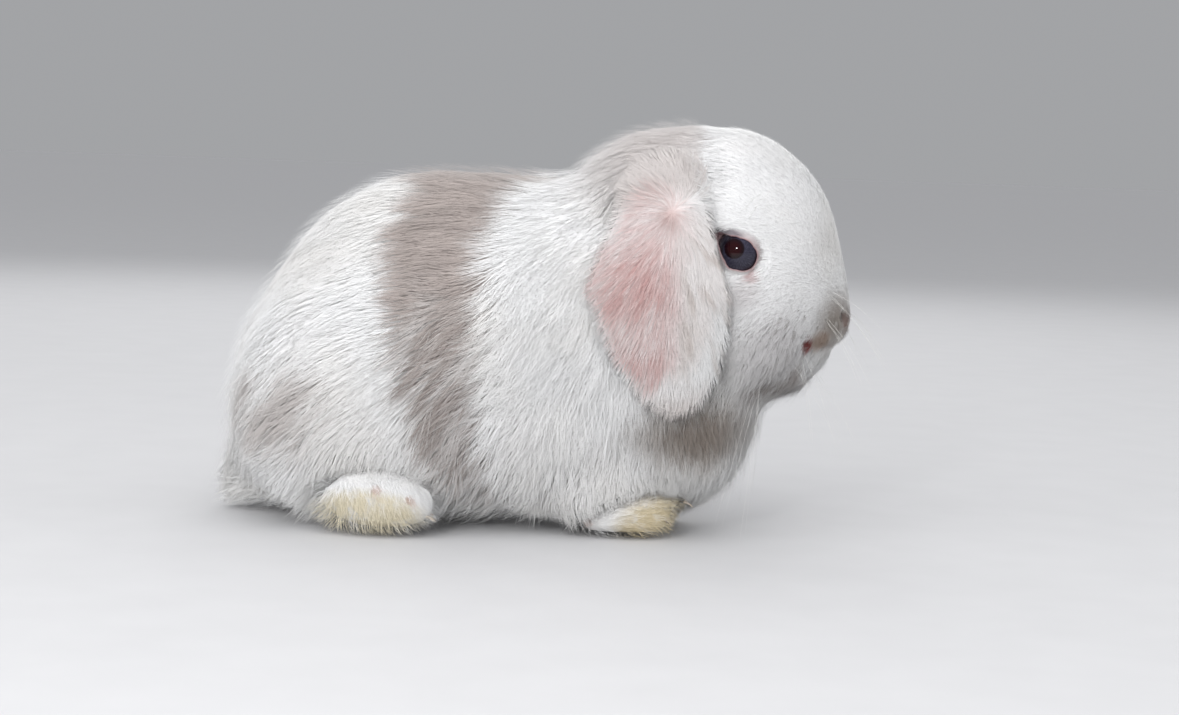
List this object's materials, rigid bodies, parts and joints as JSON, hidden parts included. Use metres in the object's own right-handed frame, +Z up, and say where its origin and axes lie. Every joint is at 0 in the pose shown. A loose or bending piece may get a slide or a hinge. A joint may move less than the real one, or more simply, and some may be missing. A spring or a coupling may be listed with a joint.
{
  "type": "lop rabbit",
  "caption": "Young lop-eared rabbit at rest on four feet, ears hanging beside its cheeks, as a still life-size model.",
  "frame": {"origin": "on the ground under the middle of the whole animal's box", "axes": "+X towards the nose, +Y towards the animal's left side, +Z up"},
  "size_m": [0.2018, 0.1018, 0.1294],
  "materials": {
    "coat": "soft white fur with pale lilac-grey markings",
    "foot_coat": "short white fur, stained cream at the toes",
    "ear_coat": "thin short fur with pink skin showing through",
    "eye": "wet gloss, slate blue iris and dark pupil",
    "bare_skin": "moist pink skin of lids, nose and lips",
    "claw": "satin horn",
    "whisker": "stiff translucent white hair"
  },
  "bodies": {
    "root": {"head": "coat", "neck": "coat", "trunk": "coat", "tail": "coat", "thigh_right": "coat", "thigh_left": "coat", "hind_foot_right": "foot_coat", "hind_foot_left": "foot_coat", "foreleg_right": "coat", "foreleg_left": "coat", "forepaw_right": "foot_coat", "forepaw_left": "foot_coat", "ear_right": "ear_coat", "ear_left": "ear_coat", "eye_right": "eye", "eye_left": "eye"}
  },
  "joints": []
}
